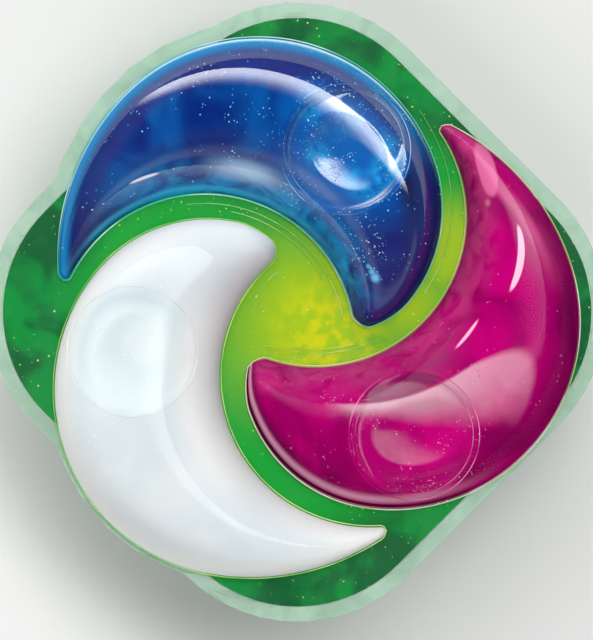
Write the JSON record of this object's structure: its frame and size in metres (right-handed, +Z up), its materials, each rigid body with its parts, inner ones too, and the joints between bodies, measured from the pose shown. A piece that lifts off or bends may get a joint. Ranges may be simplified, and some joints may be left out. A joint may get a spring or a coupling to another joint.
{
  "type": "laundry detergent pod",
  "caption": "Laundry capsule: a rounded square base chamber of green liquid under a swirl of blue, white and magenta chambers, sealed in clear film at a flange",
  "frame": {"origin": "centre of the bounding box's bottom face, in the middle of the base chamber's flat underside", "axes": "+Z up out of the flange with the swirl chambers on top, +X and +Y through two neighbouring corners of the rounded square, with the blue chamber on the +Y side"},
  "size_m": [0.0544, 0.0544, 0.0213],
  "materials": {
    "base_film": "clear glossy soft film",
    "middle_film": "clear glossy soft film",
    "top_film": "clear glossy soft film",
    "green_liquid": "clear coloured liquid",
    "blue_liquid": "clear coloured liquid",
    "white_liquid": "milky liquid",
    "magenta_liquid": "clear coloured liquid"
  },
  "bodies": {
    "root": {"base_film": "base_film", "middle_film": "middle_film", "top_film": "top_film", "green_liquid": "green_liquid", "blue_liquid": "blue_liquid", "white_liquid": "white_liquid", "magenta_liquid": "magenta_liquid"}
  },
  "joints": []
}
